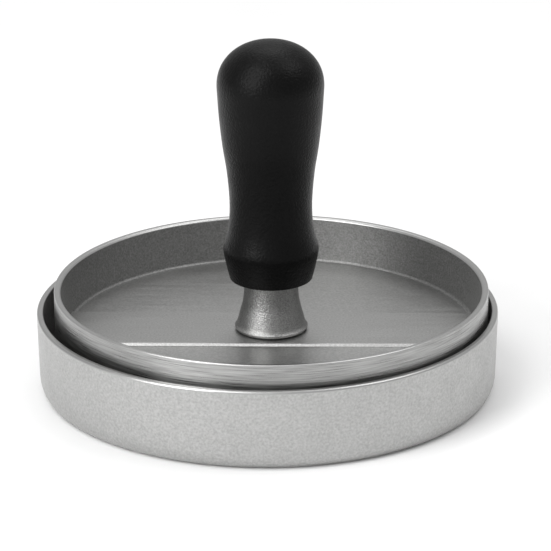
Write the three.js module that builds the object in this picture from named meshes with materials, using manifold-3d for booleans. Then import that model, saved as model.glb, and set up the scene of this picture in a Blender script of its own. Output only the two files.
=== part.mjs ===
// Patty press: a round cast tray, and a cup-shaped press plate that drops into it. A flared pedestal
// stands on the plate and carries a club-shaped grip, and one screw from beneath clamps the stack.
// Millimetres, +Z up. The origin is on the tray's axis, level with the surface that the tray rests on.
import * as THREE from "three";
import { mergeVertices } from "three/addons/utils/BufferGeometryUtils.js";
import Module from "manifold-3d";

const wasm = await Module();
wasm.setup();

// ---- driving dimensions ----

const GAP = 0.3; // between pieces that touch, and between nested faces
const BIG_SEGMENTS = 72; // around the tray and the press plate
const SMALL_SEGMENTS = 36; // around the handle's pieces

// Tray: a thin drafted wall on a floor that a foot ring lifts off the table.
const TRAY_RIM_R = 60;
const TRAY_FOOT_R = 59.5;
const TRAY_HEIGHT = 21.35;
const TRAY_RIM_WIDTH = 1.7;
const TRAY_INNER_FOOT_R = 57.9;
const TRAY_RECESS_DEPTH = 3;
const TRAY_FLOOR_TOP = 6.5;
const FOOT_RING_WIDTH = 4;
const FOOT_CORNER = { width: 2.9, height: 4.6 };
const TRAY_RIM_ROUNDING = 0.7; // along the rim's outer edge
const RIM_EDGE_BREAK = 0.3; // on the other edges of the rims of the tray and the plate

// Press plate: a shallow cup, with a bridge across its floor that the pedestal stands on.
const PLATE_R = 56.4;
const PLATE_RIM_TOP = 27;
const PLATE_RIM_FLAT = 0.6;
const PLATE_RIM_SLOPE = { width: 1.15, drop: 0.6 };
const PLATE_INNER_FOOT_R = 53.9;
const PLATE_FLOOR = 14.8;
const PLATE_UNDERSIDE = 9.5;
const PLATE_CORNER = 0.8;
const BRIDGE_WIDTH = 24;
const BRIDGE_RISE = 0.7;
const BRIDGE_SLOPE = 0.6; // how far its two long edges slope at 45 degrees
const HUB_R = 9;
const CUP_FILLET = 0.8; // between the plate's floor and its wall
const TRAY_FILLET = 1.5;

// The plate lies in the tray with play all round, and rests a little off its centre.
const SEAT_OFFSET_X = 1;

// Ribs across the two faces that shape the patty.
const RIB_PITCH = 8;
const RIB_COUNT = 11;
const RIB_ROOT_WIDTH = 3.4;
const RIB_TIP_WIDTH = 2.2;
const TRAY_RIB_HEIGHT = 1.2;
const PLATE_RIB_HEIGHT = 1.5;
const RIBBED_R = 51;

// Pedestal: bell-shaped, with a rounded lip round its base.
const PEDESTAL_BASE_R = 9.2;
const PEDESTAL_NECK_R = 7;
const PEDESTAL_FLARE = [ // radius, and height above the base
  [9.5, 0.7], // the lip's widest place
  [8.95, 1.6],
  [8.15, 4.4],
  [7.45, 7.2],
  [7.1, 10.1],
];

// Grip: a lower ring, a waist, and a belly that a dome closes.
const GRIP_BOTTOM = 29.6;
const GRIP_BOTTOM_R = 10.4;
const GRIP_BODY = [ // radius, and height above the bottom face
  [10.8, 0.4],
  [11.6, 3.6],
  [12.35, 8.1], // ring
  [11.5, 11.6],
  [10.9, 14.9],
  [10.68, 20.9], // waist
  [11.32, 28.9],
  [12.42, 36.1],
  [13.28, 44.1],
  [13.8, 52.1], // belly
];
const GRIP_DOME_HEIGHT = 11.65;
const GRIP_DOME_POWER = 2.13; // 2 is an ellipse, and more makes squarer shoulders

// M6 countersunk socket screw, and the insert that it is driven into.
const SCREW_R = 3;
const SCREW_HEAD_R = 6;
const SCREW_HEAD_EDGE = 0.3;
const SCREW_LENGTH = 35;
const SOCKET_ACROSS_FLATS = 4;
const SOCKET_DEPTH = 2.4;
const BORE_R = SCREW_R + GAP;
const INSERT_R = 4.6;
const INSERT_GROOVE_R = 4.1;
const INSERT_LENGTH = 16;
const INSERT_GROOVE_LENGTH = 4;
const SCREW_END_CLEARANCE = 4;

// Heights that follow from these.
const BRIDGE_TOP = PLATE_FLOOR + BRIDGE_RISE;
const PEDESTAL_BOTTOM = BRIDGE_TOP + GAP;
const PEDESTAL_TOP = GRIP_BOTTOM - GAP;
const PLATE_LOWEST = PLATE_UNDERSIDE - PLATE_RIB_HEIGHT;
const SCREW_BOTTOM = PLATE_LOWEST + GAP;

// ---- outlines: each is a list of [radius, height] points, anticlockwise ----

const RIGHT_ANGLE = Math.PI / 2;

// A quarter of an ellipse about a centre, from one angle to another.
function arc(centreR, centreZ, radiusR, radiusZ, from, to, steps) {
  const points = [];
  for (let i = 0; i <= steps; i++) {
    const angle = from + ((to - from) * i) / steps;
    points.push([centreR + radiusR * Math.cos(angle), centreZ + radiusZ * Math.sin(angle)]);
  }
  return points;
}

// A smooth line through points whose heights are above a base.
function smooth(points, base, steps) {
  const curve = new THREE.SplineCurve(points.map(([r, z]) => new THREE.Vector2(r, base + z)));
  return curve.getPoints(steps).map((point) => [point.x, point.y]);
}

function trayOutline() {
  const footOuterR = TRAY_FOOT_R - FOOT_CORNER.width;
  const footInnerR = footOuterR - FOOT_RING_WIDTH;
  const rimInnerR = TRAY_RIM_R - TRAY_RIM_WIDTH;
  return [
    [0, TRAY_RECESS_DEPTH],
    [footInnerR - TRAY_RECESS_DEPTH / 2, TRAY_RECESS_DEPTH],
    [footInnerR, 0],
    ...arc(footOuterR, FOOT_CORNER.height, FOOT_CORNER.width, FOOT_CORNER.height, -RIGHT_ANGLE, 0, 5),
    ...arc(
      TRAY_RIM_R - TRAY_RIM_ROUNDING, TRAY_HEIGHT - TRAY_RIM_ROUNDING,
      TRAY_RIM_ROUNDING, TRAY_RIM_ROUNDING, 0, RIGHT_ANGLE, 3,
    ),
    [rimInnerR + RIM_EDGE_BREAK, TRAY_HEIGHT],
    [rimInnerR, TRAY_HEIGHT - RIM_EDGE_BREAK],
    [TRAY_INNER_FOOT_R, TRAY_FLOOR_TOP + TRAY_FILLET],
    [TRAY_INNER_FOOT_R - TRAY_FILLET, TRAY_FLOOR_TOP],
    [0, TRAY_FLOOR_TOP],
  ];
}

function plateOutline() {
  const slopeCentreR = PLATE_R - PLATE_RIM_FLAT;
  const slopeCentreZ = PLATE_RIM_TOP - PLATE_RIM_SLOPE.drop;
  return [
    [0, PLATE_UNDERSIDE],
    [PLATE_R - PLATE_CORNER, PLATE_UNDERSIDE],
    [PLATE_R, PLATE_UNDERSIDE + PLATE_CORNER],
    [PLATE_R, PLATE_RIM_TOP - RIM_EDGE_BREAK],
    [PLATE_R - RIM_EDGE_BREAK, PLATE_RIM_TOP],
    ...arc(
      slopeCentreR, slopeCentreZ, PLATE_RIM_SLOPE.width, PLATE_RIM_SLOPE.drop, RIGHT_ANGLE, Math.PI, 3,
    ),
    ...arc(
      PLATE_INNER_FOOT_R - CUP_FILLET, PLATE_FLOOR + CUP_FILLET,
      CUP_FILLET, CUP_FILLET, 0, -RIGHT_ANGLE, 4,
    ),
    [0, PLATE_FLOOR],
  ];
}

function pedestalOutline() {
  const neckTop = [PEDESTAL_NECK_R, PEDESTAL_TOP - PEDESTAL_BOTTOM];
  return [
    [BORE_R, PEDESTAL_BOTTOM],
    [PEDESTAL_BASE_R, PEDESTAL_BOTTOM],
    ...smooth([...PEDESTAL_FLARE, neckTop], PEDESTAL_BOTTOM, 10),
    [BORE_R, PEDESTAL_TOP],
  ];
}

// From the widest place of a dome to its pole.
function domeOutline(radius, bottom, height, power, steps) {
  const points = [];
  for (let i = 1; i < steps; i++) {
    const angle = (RIGHT_ANGLE * i) / steps;
    const across = Math.cos(angle) ** (2 / power);
    const up = Math.sin(angle) ** (2 / power);
    points.push([radius * across, bottom + height * up]);
  }
  return [...points, [0, bottom + height]];
}

function gripOutline() {
  const [bellyR, bellyHeight] = GRIP_BODY.at(-1);
  return [
    [0, GRIP_BOTTOM],
    [GRIP_BOTTOM_R, GRIP_BOTTOM],
    ...smooth(GRIP_BODY, GRIP_BOTTOM, 26),
    ...domeOutline(bellyR, GRIP_BOTTOM + bellyHeight, GRIP_DOME_HEIGHT, GRIP_DOME_POWER, 8),
  ];
}

// The insert's outside: two knurled bands, and the groove between them that locks it in the grip.
function insertOutside(clearance) {
  const bandLength = (INSERT_LENGTH - INSERT_GROOVE_LENGTH) / 2;
  const bandR = INSERT_R + clearance;
  const grooveR = INSERT_GROOVE_R + clearance;
  const grooveBottom = GRIP_BOTTOM + bandLength;
  const grooveTop = grooveBottom + INSERT_GROOVE_LENGTH;
  return [
    [bandR, grooveBottom + clearance],
    [grooveR, grooveBottom + clearance],
    [grooveR, grooveTop - clearance],
    [bandR, grooveTop - clearance],
    [bandR, GRIP_BOTTOM + INSERT_LENGTH + clearance],
  ];
}

function insertOutline() {
  return [
    [BORE_R, GRIP_BOTTOM],
    [INSERT_R, GRIP_BOTTOM],
    ...insertOutside(0),
    [BORE_R, GRIP_BOTTOM + INSERT_LENGTH],
  ];
}

// The hollow that the insert fills, and a short blind hole above it for the screw's end.
function gripBoreOutline() {
  const insertTop = GRIP_BOTTOM + INSERT_LENGTH + GAP;
  return [
    [0, GRIP_BOTTOM - 1],
    [INSERT_R + GAP, GRIP_BOTTOM - 1],
    ...insertOutside(GAP),
    [BORE_R, insertTop],
    [BORE_R, insertTop + SCREW_END_CLEARANCE],
    [0, insertTop + SCREW_END_CLEARANCE],
  ];
}

// The screw, or the hole for it when a clearance is given and the ends run on past the plate.
function screwOutline(clearance, bottom, top) {
  const headR = SCREW_HEAD_R + clearance;
  const shankR = SCREW_R + clearance;
  const edgeTop = SCREW_BOTTOM + SCREW_HEAD_EDGE + clearance * (Math.SQRT2 - 1);
  return [
    [0, bottom],
    [headR, bottom],
    [headR, edgeTop],
    [shankR, edgeTop + SCREW_HEAD_R - SCREW_R],
    [shankR, top],
    [0, top],
  ];
}

// ---- solids ----

// A closed body from a three.js geometry: shared corners merged, and collapsed triangles dropped.
function solidOf(geometry) {
  geometry.deleteAttribute("normal");
  geometry.deleteAttribute("uv");
  const merged = mergeVertices(geometry, 1e-4);
  const corners = merged.index.array;
  const triVerts = [];
  for (let i = 0; i < corners.length; i += 3) {
    const [a, b, c] = corners.slice(i, i + 3);
    if (a !== b && b !== c && c !== a) triVerts.push(a, b, c);
  }
  const mesh = new wasm.Mesh({
    numProp: 3,
    vertProperties: merged.attributes.position.array,
    triVerts: new Uint32Array(triVerts),
  });
  return new wasm.Manifold(mesh);
}

// An outline turned about the Z axis.
function turned(outline, segments) {
  const closed = outline[0][0] > 0 ? [...outline, outline[0]] : outline;
  const lathe = new THREE.LatheGeometry(closed.map(([r, z]) => new THREE.Vector2(r, z)), segments);
  return solidOf(lathe.rotateX(RIGHT_ANGLE));
}

function cylinder(radius, bottom, top, segments) {
  return turned([[0, bottom], [radius, bottom], [radius, top], [0, top]], segments);
}

// A section, as points across and up, drawn out along X and centred on the Z axis.
function bar(section, length) {
  const shape = new THREE.Shape(section.map(([y, z]) => new THREE.Vector2(y, z)));
  const geometry = new THREE.ExtrudeGeometry(shape, { depth: length, bevelEnabled: false });
  geometry.rotateX(RIGHT_ANGLE);
  geometry.rotateZ(RIGHT_ANGLE);
  return solidOf(geometry.translate(-length / 2, 0, 0));
}

// Parallel ribs along X with sloping sides, cut off round. Their roots start inside the floor.
function ribs(root, tip) {
  const inside = root + Math.sign(root - tip); // a millimetre in
  const row = [];
  for (let i = 0; i < RIB_COUNT; i++) {
    const y = (i - (RIB_COUNT - 1) / 2) * RIB_PITCH;
    const section = [
      [y - RIB_ROOT_WIDTH / 2, inside],
      [y - RIB_ROOT_WIDTH / 2, root],
      [y - RIB_TIP_WIDTH / 2, tip],
      [y + RIB_TIP_WIDTH / 2, tip],
      [y + RIB_ROOT_WIDTH / 2, root],
      [y + RIB_ROOT_WIDTH / 2, inside],
    ];
    row.push(bar(section, 2 * RIBBED_R));
  }
  const low = Math.min(root, tip) - 2;
  const high = Math.max(root, tip) + 2;
  return wasm.Manifold.union(row).intersect(cylinder(RIBBED_R, low, high, BIG_SEGMENTS));
}

function makeTray() {
  const shell = turned(trayOutline(), BIG_SEGMENTS);
  return shell.add(ribs(TRAY_FLOOR_TOP, TRAY_FLOOR_TOP + TRAY_RIB_HEIGHT));
}

// The bridge across the cup's floor: level on top, with a slope along each side.
function bridgeSection() {
  const side = BRIDGE_WIDTH / 2;
  return [
    [-side, PLATE_FLOOR - 1],
    [-side, BRIDGE_TOP - BRIDGE_SLOPE],
    [-side + BRIDGE_SLOPE, BRIDGE_TOP],
    [side - BRIDGE_SLOPE, BRIDGE_TOP],
    [side, BRIDGE_TOP - BRIDGE_SLOPE],
    [side, PLATE_FLOOR - 1],
  ];
}

function makePressPlate() {
  const insideWallR = PLATE_INNER_FOOT_R + GAP;
  const bridge = bar(bridgeSection(), 2 * PLATE_R).intersect(
    cylinder(insideWallR, PLATE_UNDERSIDE, PLATE_RIM_TOP, BIG_SEGMENTS),
  );
  const hub = cylinder(HUB_R, PLATE_LOWEST, PLATE_FLOOR, SMALL_SEGMENTS);
  return turned(plateOutline(), BIG_SEGMENTS)
    .add(bridge)
    .add(ribs(PLATE_UNDERSIDE, PLATE_LOWEST))
    .add(hub)
    .subtract(turned(screwOutline(GAP, PLATE_LOWEST - 1, PEDESTAL_TOP), SMALL_SEGMENTS));
}

function makeGrip() {
  return turned(gripOutline(), SMALL_SEGMENTS).subtract(turned(gripBoreOutline(), SMALL_SEGMENTS));
}

function makeClampScrew() {
  const acrossCorners = SOCKET_ACROSS_FLATS / Math.sqrt(3);
  const socket = cylinder(acrossCorners, SCREW_BOTTOM - 1, SCREW_BOTTOM + SOCKET_DEPTH, 6);
  const top = SCREW_BOTTOM + SCREW_LENGTH;
  return turned(screwOutline(0, SCREW_BOTTOM, top), SMALL_SEGMENTS).subtract(socket);
}

// ---- scene graph ----

const castAluminium = { color: 0xb9b9b8, roughness: 0.5, metalness: 1 };
const turnedAluminium = { color: 0xb2b2b1, roughness: 0.35, metalness: 1 };
const mouldedPhenolic = { color: 0x1b1b1c, roughness: 0.55, metalness: 0 };
const brass = { color: 0xb8975a, roughness: 0.4, metalness: 1 };
const stainlessSteel = { color: 0xc4c4c2, roughness: 0.3, metalness: 1 };

function piece(name, solid, finish) {
  const { vertProperties, triVerts } = solid.getMesh();
  const geometry = new THREE.BufferGeometry();
  geometry.setAttribute("position", new THREE.BufferAttribute(vertProperties, 3));
  geometry.setIndex(new THREE.BufferAttribute(triVerts, 1));
  geometry.computeVertexNormals();
  const material = new THREE.MeshStandardMaterial({ ...finish, flatShading: true });
  const mesh = new THREE.Mesh(geometry, material);
  mesh.name = name;
  return mesh;
}

const pressAssembly = new THREE.Group();
pressAssembly.position.x = SEAT_OFFSET_X;
pressAssembly.add(
  piece("press_plate", makePressPlate(), turnedAluminium),
  piece("pedestal", turned(pedestalOutline(), SMALL_SEGMENTS), castAluminium),
  piece("grip", makeGrip(), mouldedPhenolic),
  piece("grip_insert", turned(insertOutline(), SMALL_SEGMENTS), brass),
  piece("clamp_screw", makeClampScrew(), stainlessSteel),
);

const pattyPress = new THREE.Group();
pattyPress.add(piece("tray", makeTray(), castAluminium), pressAssembly);

export default pattyPress;
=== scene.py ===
import math

import bmesh
import bpy
from mathutils import Matrix, Vector


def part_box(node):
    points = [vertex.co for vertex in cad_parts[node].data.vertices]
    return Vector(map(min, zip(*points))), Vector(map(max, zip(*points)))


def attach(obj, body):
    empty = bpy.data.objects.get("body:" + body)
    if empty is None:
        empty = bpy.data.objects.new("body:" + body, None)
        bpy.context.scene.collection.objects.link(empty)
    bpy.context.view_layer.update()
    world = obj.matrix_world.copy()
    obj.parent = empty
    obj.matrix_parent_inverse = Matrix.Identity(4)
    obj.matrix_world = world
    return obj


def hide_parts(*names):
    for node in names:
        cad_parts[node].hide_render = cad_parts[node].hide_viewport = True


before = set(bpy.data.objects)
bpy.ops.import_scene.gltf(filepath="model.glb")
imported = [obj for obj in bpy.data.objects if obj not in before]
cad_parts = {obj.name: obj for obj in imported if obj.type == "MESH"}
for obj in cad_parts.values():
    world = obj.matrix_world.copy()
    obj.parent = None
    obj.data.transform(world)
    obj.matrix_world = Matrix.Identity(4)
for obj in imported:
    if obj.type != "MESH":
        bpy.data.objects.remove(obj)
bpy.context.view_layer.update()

# ---- sizes: millimetres become metres through MM, and places come from the frame ----

MM = 0.001
AROUND = 192  # corners round the tray and the plate
AROUND_SMALL = 96  # corners round the handle's pieces

TRAY_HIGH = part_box("tray")[1]
PLATE_LOW, PLATE_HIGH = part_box("press_plate")
PEDESTAL_LOW, PEDESTAL_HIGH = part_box("pedestal")
GRIP_LOW, GRIP_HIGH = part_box("grip")
INSERT_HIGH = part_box("grip_insert")[1]
SCREW_LOW, SCREW_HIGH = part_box("clamp_screw")

TRAY_AXIS = 0.0
PRESS_AXIS = (PLATE_LOW[0] + PLATE_HIGH[0]) / 2
TRAY_R = TRAY_HIGH[0]
TRAY_TOP = TRAY_HIGH[2]
PLATE_R = PLATE_HIGH[0] - PRESS_AXIS
RIM_TOP = PLATE_HIGH[2]

# Tray
FOOT_R = 59.5 * MM
TRAY_RIM_WIDTH = 1.7 * MM
TRAY_INNER_FOOT_R = 57.9 * MM
TRAY_FLOOR = 6.5 * MM
FOOT_RECESS = 3 * MM
FOOT_RING_WIDTH = 4 * MM
FOOT_CORNER_WIDTH = 2.9 * MM
FOOT_CORNER_HEIGHT = 4.6 * MM
TRAY_RIM_ROUNDING = 0.7 * MM
TRAY_FILLET = 1.5 * MM
RIM_EDGE = 0.35 * MM

# Press plate
PLATE_UNDERSIDE = 9.5 * MM
PLATE_FLOOR = 14.8 * MM
PLATE_CORNER = 0.8 * MM
RIM_FLAT = 0.6 * MM
RIM_SLOPE_WIDTH = 1.15 * MM
RIM_SLOPE_DROP = 0.6 * MM
PLATE_INNER_FOOT_R = 53.9 * MM
CUP_FILLET = 0.8 * MM
BRIDGE_TOP = 15.5 * MM
BRIDGE_HALF_WIDTH = 12 * MM
BRIDGE_HALF_LENGTH = 54.6 * MM
BRIDGE_SLOPE = 0.6 * MM
BRIDGE_EDGE = 0.15 * MM
HUB_R = 9 * MM
HUB_SETBACK = 0.03 * MM  # how far its face stands back from the ribs' tips

# Ribs on the two faces that shape the patty
RIB_PITCH = 8 * MM
RIB_COUNT = 11
RIB_ROOT_WIDTH = 3.4 * MM
RIB_TIP_WIDTH = 2.2 * MM
RIB_EDGE = 0.3 * MM
TRAY_RIB_HEIGHT = 1.2 * MM
RIBBED_R = 51 * MM

# Handle
PLAY = 0.3 * MM
BORE_R = 3.3 * MM
SCREW_R = 3 * MM
SCREW_HEAD_R = 6 * MM
SCREW_HEAD_EDGE = 0.3 * MM
SCREW_HEAD_ROUNDING = 0.12 * MM
SCREW_TIP_CHAMFER = 0.6 * MM
SOCKET_ACROSS_CORNERS = 4.62 * MM
SOCKET_DEPTH = 2.4 * MM
INSERT_R = 4.6 * MM
SCREW_END_CLEARANCE = 4 * MM
PEDESTAL_BASE_R = 9.2 * MM
PEDESTAL_FIRST_SLICE = 0.05 * MM
PEDESTAL_LIP_FOOT = (9.4 * MM, 0.25 * MM)
PEDESTAL_FLARE = [  # radius, and height above the base
    (9.5 * MM, 0.7 * MM),  # the lip's widest place
    (8.95 * MM, 1.6 * MM),
    (8.15 * MM, 4.4 * MM),
    (7.45 * MM, 7.2 * MM),
    (7.1 * MM, 10.1 * MM),
    (7.0 * MM, 13.5 * MM),
]
GRIP_BOTTOM_R = 10.4 * MM
GRIP_FIRST_SLICE = 0.01 * MM
GRIP_CORNER = 0.4 * MM
GRIP_BODY = [  # radius, and height above the bottom face
    (10.8 * MM, 0.4 * MM),
    (11.6 * MM, 3.6 * MM),
    (12.35 * MM, 8.1 * MM),  # ring
    (11.5 * MM, 11.6 * MM),
    (10.9 * MM, 14.9 * MM),
    (10.68 * MM, 20.9 * MM),  # waist
    (11.32 * MM, 28.9 * MM),
    (12.42 * MM, 36.1 * MM),
    (13.28 * MM, 44.1 * MM),
    (13.8 * MM, 52.1 * MM),  # belly
]
GRIP_DOME_POWER = 2.13  # 2 is an ellipse, and more makes squarer shoulders

# Modelling
TOLERANCE = 0.004 * MM
RADIAL_TOLERANCE = 4 * TOLERANCE  # scaling moves the corners of a ring a little
MARGIN = 1 * MM  # how far a cutting body or a picking disc reaches past what it is for


# ---- picking and shaping in edit mode ----

def pick(piece, kind, test):
    """Selects the faces or the edges that have every corner pass the test."""
    mesh = bmesh.from_edit_mesh(piece.data)
    bpy.ops.mesh.select_mode(type={"edges": "EDGE", "faces": "FACE"}[kind])
    bpy.ops.mesh.select_all(action="DESELECT")
    for element in getattr(mesh, kind):
        element.select_set(all(test(corner.co) for corner in element.verts))
    mesh.select_flush_mode()
    bmesh.update_edit_mesh(piece.data)


def level(height):
    """A test for points at one height."""
    return lambda point: abs(point.z - height) < TOLERANCE


def ring(radius, height, axis=TRAY_AXIS):
    """A test for points on one circle about an upright axis."""
    def on_ring(point):
        off_axis = math.hypot(point.x - axis, point.y) - radius
        return abs(off_axis) < RADIAL_TOLERANCE and abs(point.z - height) < TOLERANCE
    return on_ring


def inside(radius, height, axis=TRAY_AXIS):
    """A test for points on a disc at one height."""
    def on_disc(point):
        off_axis = math.hypot(point.x - axis, point.y)
        return off_axis < radius + TOLERANCE and abs(point.z - height) < TOLERANCE
    return on_disc


def scale_round(factor, axis=TRAY_AXIS):
    bpy.ops.transform.resize(value=(factor, factor, 1), center_override=(axis, 0, 0))


def extrude_up(height):
    bpy.ops.mesh.extrude_region_move(TRANSFORM_OT_translate={"value": (0, 0, height)})


def inset(width):
    bpy.ops.mesh.inset(thickness=width, depth=0)


def bevel_ring(piece, radius, height, size, segments, axis=TRAY_AXIS):
    pick(piece, "edges", ring(radius, height, axis))
    bpy.ops.mesh.bevel(offset=size, segments=segments, profile=0.5)


# ---- starting, cutting and finishing a piece ----

def start(name, primitive, **size):
    """Adds a primitive at its place, and opens it in edit mode with nothing selected."""
    bpy.ops.object.select_all(action="DESELECT")
    primitive(**size)
    piece = bpy.context.object
    piece.name = name
    piece.data.name = name
    bpy.ops.object.transform_apply(location=True, rotation=True, scale=True)
    bpy.ops.object.mode_set(mode="EDIT")
    bpy.ops.mesh.select_all(action="DESELECT")
    return piece


def start_cylinder(name, radius, bottom, top, axis=TRAY_AXIS, around=AROUND):
    return start(
        name, bpy.ops.mesh.primitive_cylinder_add, vertices=around, radius=radius,
        depth=top - bottom, location=(axis, 0, (bottom + top) / 2),
    )


def leave_edit_mode():
    bpy.ops.object.mode_set(mode="OBJECT")


def select_only(piece):
    bpy.ops.object.select_all(action="DESELECT")
    piece.select_set(True)
    bpy.context.view_layer.objects.active = piece


def apply_modifier(piece, kind, **settings):
    select_only(piece)
    modifier = piece.modifiers.new(kind.lower(), kind)
    for name, value in settings.items():
        setattr(modifier, name, value)
    bpy.ops.object.modifier_apply(modifier=modifier.name)


def combine(piece, tool, operation):
    """Joins a tool body to the piece or cuts it away, and removes the tool."""
    apply_modifier(piece, "BOOLEAN", object=tool, operation=operation, solver="EXACT")
    bpy.data.objects.remove(tool, do_unlink=True)


def smooth(piece, degrees=30):
    """Smooths the shading across edges up to that angle, and keeps it flat on large faces."""
    select_only(piece)
    bpy.ops.object.shade_smooth_by_angle(angle=math.radians(degrees))
    apply_modifier(piece, "WEIGHTED_NORMAL", keep_sharp=True)


def quarter_turn(steps):
    """The angles of a quarter turn, without the first."""
    return [math.radians(90) * step / steps for step in range(1, steps + 1)]


def stack_rings(piece, stations, end, axis=TRAY_AXIS):
    """Draws the disc at an end's (radius, height) through the stations, each (radius, height)."""
    radius, height = end
    pick(piece, "faces", inside(radius, height, axis))
    for next_radius, next_height in stations:
        extrude_up(next_height - height)
        scale_round(next_radius / radius, axis)
        radius, height = next_radius, next_height


def smooth_line(points, base, steps):
    """Points on a Catmull-Rom line through (radius, height above base) points."""
    points = [(radius, base + height) for radius, height in points]
    padded = [points[0], *points, points[-1]]
    line = [points[0]]
    for before, here, there, after in zip(padded, padded[1:], padded[2:], padded[3:]):
        for step in range(1, steps + 1):
            t = step / steps
            line.append(tuple(
                0.5 * (2 * b + (c - a) * t + (2 * a - 5 * b + 4 * c - d) * t ** 2
                       + (3 * b - a - 3 * c + d) * t ** 3)
                for a, b, c, d in zip(before, here, there, after)
            ))
    return line


def dome_line(radius, bottom, rise, power, steps):
    """(radius, height) points from the widest place of a dome nearly to its pole."""
    return [
        (radius * math.cos(a) ** (2 / power), bottom + rise * math.sin(a) ** (2 / power))
        for a in quarter_turn(steps)[:-1]
    ]


def tip_edge(height, side):
    """A test for points along one side of the ribs' tips."""
    def on_tip_edge(point):
        place = (point.y - side * RIB_TIP_WIDTH / 2) / RIB_PITCH
        off_edge = abs(place - round(place)) * RIB_PITCH
        return off_edge < TOLERANCE and abs(point.z - height) < TOLERANCE
    return on_tip_edge


def rib_middle(i):
    return (i - (RIB_COUNT - 1) / 2) * RIB_PITCH


def raise_ribs(piece, floor, rise, axis=TRAY_AXIS):
    """Cuts the ribbed disc into strips along X, and draws the ribs out of it."""
    on_disc = inside(RIBBED_R, floor, axis)
    for i in range(RIB_COUNT):
        for side in (-1, 1):
            pick(piece, "faces", on_disc)
            cut = (axis, rib_middle(i) + side * RIB_ROOT_WIDTH / 2, floor)
            bpy.ops.mesh.bisect(plane_co=cut, plane_no=(0, 1, 0))
    half = RIB_ROOT_WIDTH / 2 + TOLERANCE
    narrowing = RIB_TIP_WIDTH / RIB_ROOT_WIDTH
    for i in range(RIB_COUNT):
        middle = rib_middle(i)
        pick(piece, "faces", lambda point: on_disc(point) and abs(point.y - middle) < half)
        extrude_up(rise)
        bpy.ops.transform.resize(value=(1, narrowing, 1), center_override=(axis, middle, floor))
    for side in (-1, 1):
        pick(piece, "edges", tip_edge(floor + rise, side))
        bpy.ops.mesh.bevel(offset=RIB_EDGE, segments=2, profile=0.5)


# ---- tray ----

def make_tray():
    tray = start_cylinder("tray_casting", TRAY_R, FOOT_CORNER_HEIGHT, TRAY_TOP)

    # The outside: a drafted wall, and an elliptical corner down to the foot ring.
    pick(tray, "faces", level(FOOT_CORNER_HEIGHT))
    scale_round(FOOT_R / TRAY_R)
    corner = [
        (FOOT_R - FOOT_CORNER_WIDTH * (1 - math.cos(a)), FOOT_CORNER_HEIGHT * (1 - math.sin(a)))
        for a in quarter_turn(steps=8)
    ]
    stack_rings(tray, corner, (FOOT_R, FOOT_CORNER_HEIGHT))

    # The mould: a thin rim, a drafted wall and a floor.
    rim_inner_r = TRAY_R - TRAY_RIM_WIDTH
    pick(tray, "faces", level(TRAY_TOP))
    inset(TRAY_RIM_WIDTH)
    extrude_up(TRAY_FLOOR - TRAY_TOP)
    scale_round(TRAY_INNER_FOOT_R / rim_inner_r)

    # The foot ring: a shallow recess leaves it standing.
    pick(tray, "faces", level(0))
    inset(FOOT_RING_WIDTH)
    extrude_up(FOOT_RECESS)
    recess_r = FOOT_R - FOOT_CORNER_WIDTH - FOOT_RING_WIDTH
    recess_top_r = recess_r - FOOT_RECESS / 2
    scale_round(recess_top_r / recess_r)

    bevel_ring(tray, TRAY_R, TRAY_TOP, TRAY_RIM_ROUNDING, segments=6)
    bevel_ring(tray, rim_inner_r, TRAY_TOP, RIM_EDGE, segments=3)
    bevel_ring(tray, TRAY_INNER_FOOT_R, TRAY_FLOOR, TRAY_FILLET, segments=5)
    bevel_ring(tray, recess_r, 0, RIM_EDGE, segments=2)
    bevel_ring(tray, recess_top_r, FOOT_RECESS, RIM_EDGE, segments=2)

    # The ribbed floor, inside the fillet's foot.
    floor_r = TRAY_INNER_FOOT_R - TRAY_FILLET
    pick(tray, "faces", inside(floor_r + MARGIN, TRAY_FLOOR))
    inset(floor_r - RIBBED_R)
    raise_ribs(tray, TRAY_FLOOR, TRAY_RIB_HEIGHT)
    leave_edit_mode()
    smooth(tray)
    return tray


# ---- press plate ----

def make_bridge():
    """A low bar across the plate's floor, half sunk into it, with sloping sides and ends."""
    bridge = start(
        "bridge_bar", bpy.ops.mesh.primitive_cube_add, size=1, location=(PRESS_AXIS, 0, PLATE_FLOOR),
        scale=(2 * BRIDGE_HALF_LENGTH, 2 * BRIDGE_HALF_WIDTH, 2 * (BRIDGE_TOP - PLATE_FLOOR)),
    )
    pick(bridge, "edges", level(BRIDGE_TOP))
    bpy.ops.mesh.bevel(offset=BRIDGE_SLOPE, segments=1)
    pick(bridge, "edges", level(BRIDGE_TOP))
    bpy.ops.mesh.bevel(offset=BRIDGE_EDGE, segments=3, profile=0.5)
    leave_edit_mode()
    return bridge


def make_screw_hole():
    """The countersink and the bore, as one body to cut away."""
    # The cone is the head's own, and stands off it by the play, square to its slope.
    edge_top = SCREW_LOW[2] + SCREW_HEAD_EDGE + PLAY * (math.sqrt(2) - 1)
    hole_bottom = PLATE_LOW[2] - MARGIN
    mouth_r = SCREW_HEAD_R + PLAY
    hole = start_cylinder("screw_hole", mouth_r, hole_bottom, edge_top, PRESS_AXIS, AROUND_SMALL)
    stations = [(BORE_R, edge_top + mouth_r - BORE_R), (BORE_R, PEDESTAL_HIGH[2] + MARGIN)]
    stack_rings(hole, stations, (mouth_r, edge_top), PRESS_AXIS)
    leave_edit_mode()
    return hole


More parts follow.
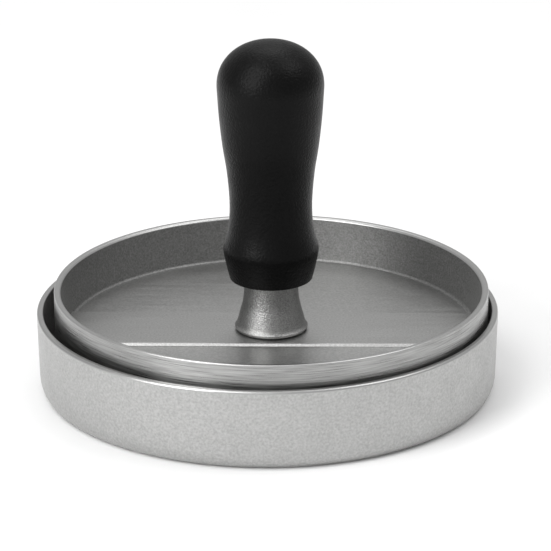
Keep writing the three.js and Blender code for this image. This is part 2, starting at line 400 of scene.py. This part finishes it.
def make_press_plate():
    plate = start_cylinder("press_plate_casting", PLATE_R, PLATE_UNDERSIDE, RIM_TOP, PRESS_AXIS)

    # The rim: a narrow flat, then a rounded slope down to the inner wall.
    pick(plate, "faces", level(RIM_TOP))
    inset(RIM_FLAT)
    flat_r = PLATE_R - RIM_FLAT
    slope = [
        (flat_r - RIM_SLOPE_WIDTH * math.sin(a), RIM_TOP - RIM_SLOPE_DROP * (1 - math.cos(a)))
        for a in quarter_turn(steps=5)
    ]
    cup = [*slope, (PLATE_INNER_FOOT_R, PLATE_FLOOR)]
    stack_rings(plate, cup, (flat_r, RIM_TOP), PRESS_AXIS)
    bevel_ring(plate, PLATE_R, RIM_TOP, RIM_EDGE, segments=3, axis=PRESS_AXIS)
    bevel_ring(plate, PLATE_INNER_FOOT_R, PLATE_FLOOR, CUP_FILLET, segments=6, axis=PRESS_AXIS)
    bevel_ring(plate, PLATE_R, PLATE_UNDERSIDE, PLATE_CORNER, segments=4, axis=PRESS_AXIS)

    # The pressing face.
    face_r = PLATE_R - PLATE_CORNER
    pick(plate, "faces", inside(face_r + MARGIN, PLATE_UNDERSIDE, PRESS_AXIS))
    inset(face_r - RIBBED_R)
    raise_ribs(plate, PLATE_UNDERSIDE, PLATE_LOW[2] - PLATE_UNDERSIDE, PRESS_AXIS)
    leave_edit_mode()

    # The hub round the screw's head ends inside the floor's metal.
    hub_face = PLATE_LOW[2] + HUB_SETBACK
    hub_end = PLATE_FLOOR - MARGIN
    hub = start_cylinder("hub", HUB_R, hub_face, hub_end, PRESS_AXIS, AROUND_SMALL)
    bevel_ring(hub, HUB_R, hub_face, RIB_EDGE, segments=2, axis=PRESS_AXIS)
    leave_edit_mode()
    combine(plate, hub, "UNION")
    combine(plate, make_bridge(), "UNION")
    combine(plate, make_screw_hole(), "DIFFERENCE")
    smooth(plate)
    return plate


# ---- handle ----

def make_pedestal():
    bottom = PEDESTAL_LOW[2]
    first_top = bottom + PEDESTAL_FIRST_SLICE
    lip_foot_r, lip_foot_height = PEDESTAL_LIP_FOOT
    pedestal = start_cylinder(
        "pedestal_casting", PEDESTAL_BASE_R, bottom, first_top, PRESS_AXIS, AROUND_SMALL,
    )
    flare = smooth_line(PEDESTAL_FLARE, bottom, steps=5)
    outline = [(lip_foot_r, bottom + lip_foot_height), *flare]
    stack_rings(pedestal, outline, (PEDESTAL_BASE_R, first_top), PRESS_AXIS)
    leave_edit_mode()
    combine(pedestal, make_screw_hole(), "DIFFERENCE")
    smooth(pedestal, degrees=40)
    return pedestal


def make_grip():
    bottom = GRIP_LOW[2]
    belly_r, belly_height = GRIP_BODY[-1]
    dome_bottom = bottom + belly_height
    dome_rise = GRIP_HIGH[2] - dome_bottom
    corner = [
        (GRIP_BOTTOM_R + GRIP_CORNER * math.sin(a), bottom + GRIP_CORNER * (1 - math.cos(a)))
        for a in quarter_turn(steps=5)[:-1]
    ]
    body = smooth_line(GRIP_BODY, bottom, steps=5)
    dome = dome_line(belly_r, dome_bottom, dome_rise, GRIP_DOME_POWER, steps=20)
    first_top = bottom + GRIP_FIRST_SLICE
    grip = start_cylinder(
        "grip_moulding", GRIP_BOTTOM_R, bottom, first_top, PRESS_AXIS, AROUND_SMALL,
    )
    stack_rings(grip, corner + body + dome, (GRIP_BOTTOM_R, first_top), PRESS_AXIS)

    # The last ring closes to a pole.
    extrude_up(GRIP_HIGH[2] - dome[-1][1])
    bpy.ops.mesh.merge(type="CENTER")
    leave_edit_mode()

    # The hollow for the insert, and the blind hole for the screw's end.
    hollow_r = INSERT_R + PLAY
    hollow_top = INSERT_HIGH[2] + PLAY
    mouth = bottom - MARGIN
    hollow = start_cylinder("hollow", hollow_r, mouth, hollow_top, PRESS_AXIS, AROUND_SMALL)
    pick(hollow, "faces", level(hollow_top))
    inset(hollow_r - BORE_R)
    extrude_up(SCREW_END_CLEARANCE)
    leave_edit_mode()
    combine(grip, hollow, "DIFFERENCE")
    smooth(grip, degrees=40)
    return grip


def make_clamp_screw():
    bottom = SCREW_LOW[2]
    edge_top = bottom + SCREW_HEAD_EDGE
    screw = start_cylinder(
        "clamp_screw_steel", SCREW_HEAD_R, bottom, edge_top, PRESS_AXIS, AROUND_SMALL,
    )
    stations = [
        (SCREW_R, edge_top + SCREW_HEAD_R - SCREW_R),
        (SCREW_R, SCREW_HIGH[2] - SCREW_TIP_CHAMFER),
        (SCREW_R - SCREW_TIP_CHAMFER, SCREW_HIGH[2]),
    ]
    stack_rings(screw, stations, (SCREW_HEAD_R, edge_top), PRESS_AXIS)
    bevel_ring(screw, SCREW_HEAD_R, bottom, SCREW_HEAD_ROUNDING, segments=2, axis=PRESS_AXIS)
    leave_edit_mode()

    # The hex socket.
    socket = start_cylinder(
        "socket", SOCKET_ACROSS_CORNERS / 2, bottom - MARGIN, bottom + SOCKET_DEPTH, PRESS_AXIS,
        around=6,
    )
    leave_edit_mode()
    combine(screw, socket, "DIFFERENCE")
    smooth(screw)
    return screw


# ---- materials ----

def srgb(hex_colour):
    """An sRGB hex value as linear RGBA."""
    channels = [int(hex_colour[i:i + 2], 16) / 255 for i in (0, 2, 4)]
    linear = [c / 12.92 if c <= 0.04045 else ((c + 0.055) / 1.055) ** 2.4 for c in channels]
    return (*linear, 1)


def per_metre(millimetres):
    """The scale of a pattern that has one feature in that many millimetres."""
    return 1 / (millimetres * MM)


def add_node(tree, kind, settings=(), values=(), links=()):
    """Adds a node with its settings, its sockets' values and the outputs that feed it."""
    node = tree.nodes.new(kind)
    for name, value in dict(settings).items():
        setattr(node, name, value)
    for name, value in dict(values).items():
        node.inputs[name].default_value = value
    for name, output in dict(links).items():
        tree.links.new(output, node.inputs[name])
    return node


def new_material(name, values):
    """A material with a principled surface, from typical values that patterns may then drive.
    Returns the material, its tree, its surface and its Object coordinates."""
    material = bpy.data.materials.new(name)
    material.use_nodes = True
    tree = material.node_tree
    tree.nodes.clear()
    surface = add_node(tree, "ShaderNodeBsdfPrincipled", values=values)
    add_node(tree, "ShaderNodeOutputMaterial", links={"Surface": surface.outputs["BSDF"]})
    space = add_node(tree, "ShaderNodeTexCoord").outputs["Object"]
    return material, tree, surface, space


def grain(tree, space, millimetres, detail=2):
    """Noise with blobs of one size, its narrow middle range spread out to the range 0 to 1."""
    noise = add_node(
        tree, "ShaderNodeTexNoise", values={"Scale": per_metre(millimetres), "Detail": detail},
        links={"Vector": space},
    )
    return add_node(
        tree, "ShaderNodeMapRange", values={"From Min": 0.3, "From Max": 0.7},
        links={"Value": noise.outputs["Fac"]},
    ).outputs["Result"]


def tool_lines(tree, space, millimetres):
    """Level lines that come and go round the piece, one in that many millimetres up it."""
    sideways = 0.03  # the blobs are drawn out to lines some 30 times as long as they are high
    stretched = add_node(
        tree, "ShaderNodeMapping", values={"Scale": (sideways, sideways, 1)},
        links={"Vector": space},
    ).outputs["Vector"]
    return grain(tree, stretched, millimetres)


def tint(tree, surface, pattern, dark, light):
    """The pattern drives the colour between two sRGB hex ends."""
    # A Mix node has sockets of one name for each type of data: 6, 7 and output 2 are colours.
    colour = add_node(
        tree, "ShaderNodeMix", {"data_type": "RGBA"}, {6: srgb(dark), 7: srgb(light)}, {0: pattern},
    )
    tree.links.new(colour.outputs[2], surface.inputs["Base Color"])


def polish(tree, surface, pattern, smoothest, roughest):
    """The pattern drives the roughness between two ends."""
    roughness = add_node(
        tree, "ShaderNodeMapRange", values={"To Min": smoothest, "To Max": roughest},
        links={"Value": pattern},
    )
    tree.links.new(roughness.outputs["Result"], surface.inputs["Roughness"])


def relief(tree, surface, pattern, millimetres):
    """The pattern raises and sinks the surface, as bump, by a depth in millimetres."""
    bump = add_node(
        tree, "ShaderNodeBump", values={"Strength": 1.0, "Distance": millimetres * MM},
        links={"Height": pattern},
    )
    tree.links.new(bump.outputs["Normal"], surface.inputs["Normal"])


def blasted_cast_aluminium():
    """Aluminium, sand-cast and bead-blasted: a pale satin with a fine salt-and-pepper grain."""
    material, tree, surface, space = new_material(
        "aluminium_bead_blasted", {"Metallic": 1.0, "Roughness": 0.45},
    )
    # Blasting pits are 0.1 mm across, drawn coarser so that they show.
    pits = grain(tree, space, 0.6)
    tint(tree, surface, pits, "A8A8A7", "BDBDBC")
    polish(tree, surface, grain(tree, space, 6), 0.40, 0.50)
    relief(tree, surface, pits, 0.025)
    return material


def faced_rim_aluminium(name, axis):
    """Aluminium, faced on a lathe: brighter than the blasted wall, with rings round the rim."""
    material, tree, surface, space = new_material(name, {"Metallic": 1.0, "Roughness": 0.3})
    centred = add_node(
        tree, "ShaderNodeMapping", values={"Location": (-axis, 0, 0)}, links={"Vector": space},
    ).outputs["Vector"]
    # The feed is 0.1 mm a turn, drawn coarser so that it shows. A wave texture has one ring in
    # pi / 10 of its own units.
    rings = add_node(
        tree, "ShaderNodeTexWave", {"wave_type": "RINGS", "rings_direction": "Z"},
        {"Scale": per_metre(0.3) * math.pi / 10, "Distortion": 0.4}, {"Vector": centred},
    ).outputs["Fac"]
    tint(tree, surface, rings, "AEAEAD", "BEBEBD")
    polish(tree, surface, grain(tree, space, 3), 0.28, 0.34)
    return material


def turned_wall_aluminium():
    """Aluminium, turned on a lathe: the feed of the tool leaves fine level lines, which stretch
    every reflection up and down."""
    material, tree, surface, space = new_material(
        "aluminium_turned_wall",
        {"Metallic": 1.0, "Roughness": 0.3, "Anisotropic": 0.7, "Anisotropic Rotation": 0.25},
    )
    around = add_node(tree, "ShaderNodeTangent", {"direction_type": "RADIAL", "axis": "Z"})
    tree.links.new(around.outputs["Tangent"], surface.inputs["Tangent"])
    # The feed is 0.1 mm a turn, drawn as lines a third of a millimetre apart so that they show.
    lines = tool_lines(tree, space, 0.32)
    tint(tree, surface, lines, "8A8A89", "B8B8B7")
    polish(tree, surface, lines, 0.26, 0.36)
    relief(tree, surface, lines, 0.015)
    return material


def milled_floor_aluminium():
    """Aluminium, milled and lightly blasted: an even satin with faint streaks along the bridge."""
    material, tree, surface, space = new_material(
        "aluminium_milled_floor", {"Metallic": 1.0, "Roughness": 0.35},
    )
    # The speckle is drawn coarser than the real 0.1 mm. A streak is 20 mm long and thin.
    speckle = grain(tree, space, 0.5)
    tint(tree, surface, speckle, "A5A5A4", "BCBCBB")
    thinness = 30
    stretched = add_node(
        tree, "ShaderNodeMapping", values={"Scale": (1, thinness, thinness)},
        links={"Vector": space},
    ).outputs["Vector"]
    polish(tree, surface, grain(tree, stretched, 20, detail=3), 0.34, 0.42)
    relief(tree, surface, speckle, 0.018)
    return material


def cast_inner_wall_aluminium():
    """Aluminium, as cast: a darker skin with a grain that the tool never reached."""
    material, tree, surface, space = new_material(
        "aluminium_cast_skin", {"Metallic": 1.0, "Roughness": 0.45},
    )
    skin = grain(tree, space, 0.5)
    tint(tree, surface, skin, "7C7C7B", "979796")
    polish(tree, surface, grain(tree, space, 3), 0.48, 0.56)
    relief(tree, surface, skin, 0.05)
    return material


def pebbled_cast_aluminium():
    """Aluminium, die-cast and tumbled: glossy pebbles a third of a millimetre across."""
    material, tree, surface, space = new_material(
        "aluminium_pebbled_casting", {"Metallic": 1.0, "Roughness": 0.28},
    )
    pebbles = grain(tree, space, 0.33)
    tint(tree, surface, pebbles, "868685", "AEAEAD")
    polish(tree, surface, grain(tree, space, 2), 0.3, 0.38)
    relief(tree, surface, pebbles, 0.055)
    return material


def moulded_phenolic():
    """Black phenolic, compression-moulded: a dull sheen broken by a fine orange-peel grain."""
    material, tree, surface, space = new_material(
        "phenolic_black_moulded",
        {"Metallic": 0.0, "Roughness": 0.4, "IOR": 1.5, "Specular IOR Level": 0.12},
    )
    peel = grain(tree, space, 0.55)
    tint(tree, surface, peel, "030303", "070707")
    polish(tree, surface, grain(tree, space, 5), 0.32, 0.38)
    relief(tree, surface, peel, 0.065)
    return material


def turned_brass():
    """Brass, turned from bar: warm and fairly bright, with faint level lines."""
    material, tree, surface, space = new_material(
        "brass_turned", {"Metallic": 1.0, "Roughness": 0.3},
    )
    # The feed is 0.1 mm a turn, drawn coarser so that it shows.
    lines = tool_lines(tree, space, 0.3)
    tint(tree, surface, lines, "B8975A", "D2B276")
    polish(tree, surface, lines, 0.25, 0.38)
    relief(tree, surface, lines, 0.01)
    return material


def headed_stainless_steel():
    """Stainless steel, cold-headed and tumbled: bright, with faint handling marks."""
    material, tree, surface, space = new_material(
        "steel_stainless_headed", {"Metallic": 1.0, "Roughness": 0.25},
    )
    marks = grain(tree, space, 0.8, detail=4)
    tint(tree, surface, marks, "B4B4B1", "CBCBC8")
    polish(tree, surface, marks, 0.2, 0.34)
    return material


def paint(piece, material, test=None):
    """Gives the piece a material, or only those faces whose middle and normal pass the test."""
    piece.data.materials.append(material)
    number = len(piece.data.materials) - 1
    for face in piece.data.polygons:
        if test is None or test(face.center, face.normal):
            face.material_index = number


# ---- pieces on their bodies ----

def settle(piece, body, node):
    """Puts the piece on its body, in its node's place, and hides the node's own mesh."""
    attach(piece, body)
    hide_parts(node)


def is_tray_rim(middle, normal):
    return middle.z > TRAY_TOP - TRAY_RIM_ROUNDING


def is_plate_rim(middle, normal):
    faces_up = normal.z > 0.05
    return faces_up and middle.z > RIM_TOP - RIM_SLOPE_DROP


def is_plate_outside(middle, normal):
    return math.hypot(middle.x - PRESS_AXIS, middle.y) > PLATE_R - RIM_FLAT


def is_bridge_or_floor(middle, normal):
    is_level = abs(normal.z) > 0.98
    faces_aside = abs(normal.y) > 0.3
    by_the_bridge = middle.z < BRIDGE_TOP + TOLERANCE and abs(middle.y) < BRIDGE_HALF_WIDTH + MARGIN
    return is_level or (faces_aside and by_the_bridge)


tray = make_tray()
paint(tray, blasted_cast_aluminium())
paint(tray, faced_rim_aluminium("aluminium_faced_tray_rim", TRAY_AXIS), is_tray_rim)
settle(tray, "tray", "tray")

plate = make_press_plate()
paint(plate, cast_inner_wall_aluminium())
paint(plate, turned_wall_aluminium(), is_plate_outside)
paint(plate, milled_floor_aluminium(), is_bridge_or_floor)
paint(plate, faced_rim_aluminium("aluminium_faced_plate_rim", PRESS_AXIS), is_plate_rim)
settle(plate, "press", "press_plate")

pedestal = make_pedestal()
paint(pedestal, pebbled_cast_aluminium())
settle(pedestal, "press", "pedestal")

grip = make_grip()
paint(grip, moulded_phenolic())
settle(grip, "press", "grip")

screw = make_clamp_screw()
paint(screw, headed_stainless_steel())
settle(screw, "press", "clamp_screw")

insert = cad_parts["grip_insert"]
insert.data.materials.clear()
insert.data.materials.append(turned_brass())


# ---- floor, light and camera ----

FLOOR_SIZE = 6  # metres
FLOOR_DROP = 0.02 * MM  # a hair below the foot, so that the two aren't in one plane

SKY_STRENGTH = 0.54
SOFTBOX_SIZE = 0.5  # metres, and each box is one metre from the origin
SOFTBOX_TARGET = Vector((0, 0, 30 * MM))
SOFTBOXES = {  # degrees round from the front, degrees up, and watts
    "key_high": (-45, 60, 3.6),
    "key_low": (-45, 25, 4.3),
    "back": (180, 60, 1.6),
    "side": (90, 60, 2.1),
    "front_low": (0, 25, 0.3),
}

CAMERA_SENSOR = 36  # millimetres, as the lens is
CAMERA_LENS = 261.5
CAMERA_PLACE = (0, -975.06 * MM, 388.9 * MM)
CAMERA_ROUND = 1.28  # degrees round the object, from straight in front of it
CAMERA_PITCH = 20.21  # degrees down
CAMERA_YAW = 0.125
CAMERA_ROLL = -0.2


def make_floor():
    bpy.ops.object.select_all(action="DESELECT")
    bpy.ops.mesh.primitive_plane_add(size=FLOOR_SIZE, location=(0, 0, -FLOOR_DROP))
    floor = bpy.context.object
    floor.name = "floor"
    material, tree, surface, space = new_material("floor_white_paint", {"Roughness": 0.9})
    haze = grain(tree, space, 40)
    tint(tree, surface, haze, "F2F2F2", "F4F4F4")
    polish(tree, surface, haze, 0.88, 0.92)
    floor.data.materials.append(material)


def hang_softbox(name, degrees_round, degrees_up, watts):
    """A square area light a metre off, turned towards the object."""
    across, up = math.radians(degrees_round), math.radians(degrees_up)
    place = Vector((
        math.sin(across) * math.cos(up), -math.cos(across) * math.cos(up), math.sin(up),
    ))
    light = bpy.data.lights.new(name, "AREA")
    light.size = SOFTBOX_SIZE
    light.energy = watts
    softbox = bpy.data.objects.new(name, light)
    bpy.context.scene.collection.objects.link(softbox)
    softbox.location = place
    softbox.rotation_euler = (SOFTBOX_TARGET - place).to_track_quat("-Z", "Y").to_euler()


def light_the_studio():
    world = bpy.data.worlds.new("studio")
    bpy.context.scene.world = world
    world.use_nodes = True
    backdrop = world.node_tree.nodes["Background"]
    backdrop.inputs["Color"].default_value = srgb("FFFFFF")
    backdrop.inputs["Strength"].default_value = SKY_STRENGTH
    for name, (degrees_round, degrees_up, watts) in SOFTBOXES.items():
        hang_softbox(name, degrees_round, degrees_up, watts)
    bpy.context.scene.view_settings.view_transform = "Standard"


def aim_camera():
    """A new camera looks straight down. It is rolled, lifted to its pitch, turned by its yaw, moved
    to its place and then taken round the object."""
    camera_data = bpy.data.cameras.new("camera")
    camera_data.sensor_width = CAMERA_SENSOR
    camera_data.lens = CAMERA_LENS
    camera_data.clip_start = 0.05
    camera_data.clip_end = 100
    camera = bpy.data.objects.new("camera", camera_data)
    bpy.context.scene.collection.objects.link(camera)
    camera.matrix_world = (
        Matrix.Rotation(math.radians(CAMERA_ROUND), 4, "Z")
        @ Matrix.Translation(CAMERA_PLACE)
        @ Matrix.Rotation(math.radians(-CAMERA_YAW), 4, "Z")
        @ Matrix.Rotation(math.radians(90 - CAMERA_PITCH), 4, "X")
        @ Matrix.Rotation(math.radians(CAMERA_ROLL), 4, "Z")
    )
    bpy.context.scene.camera = camera


make_floor()
light_the_studio()
aim_camera()
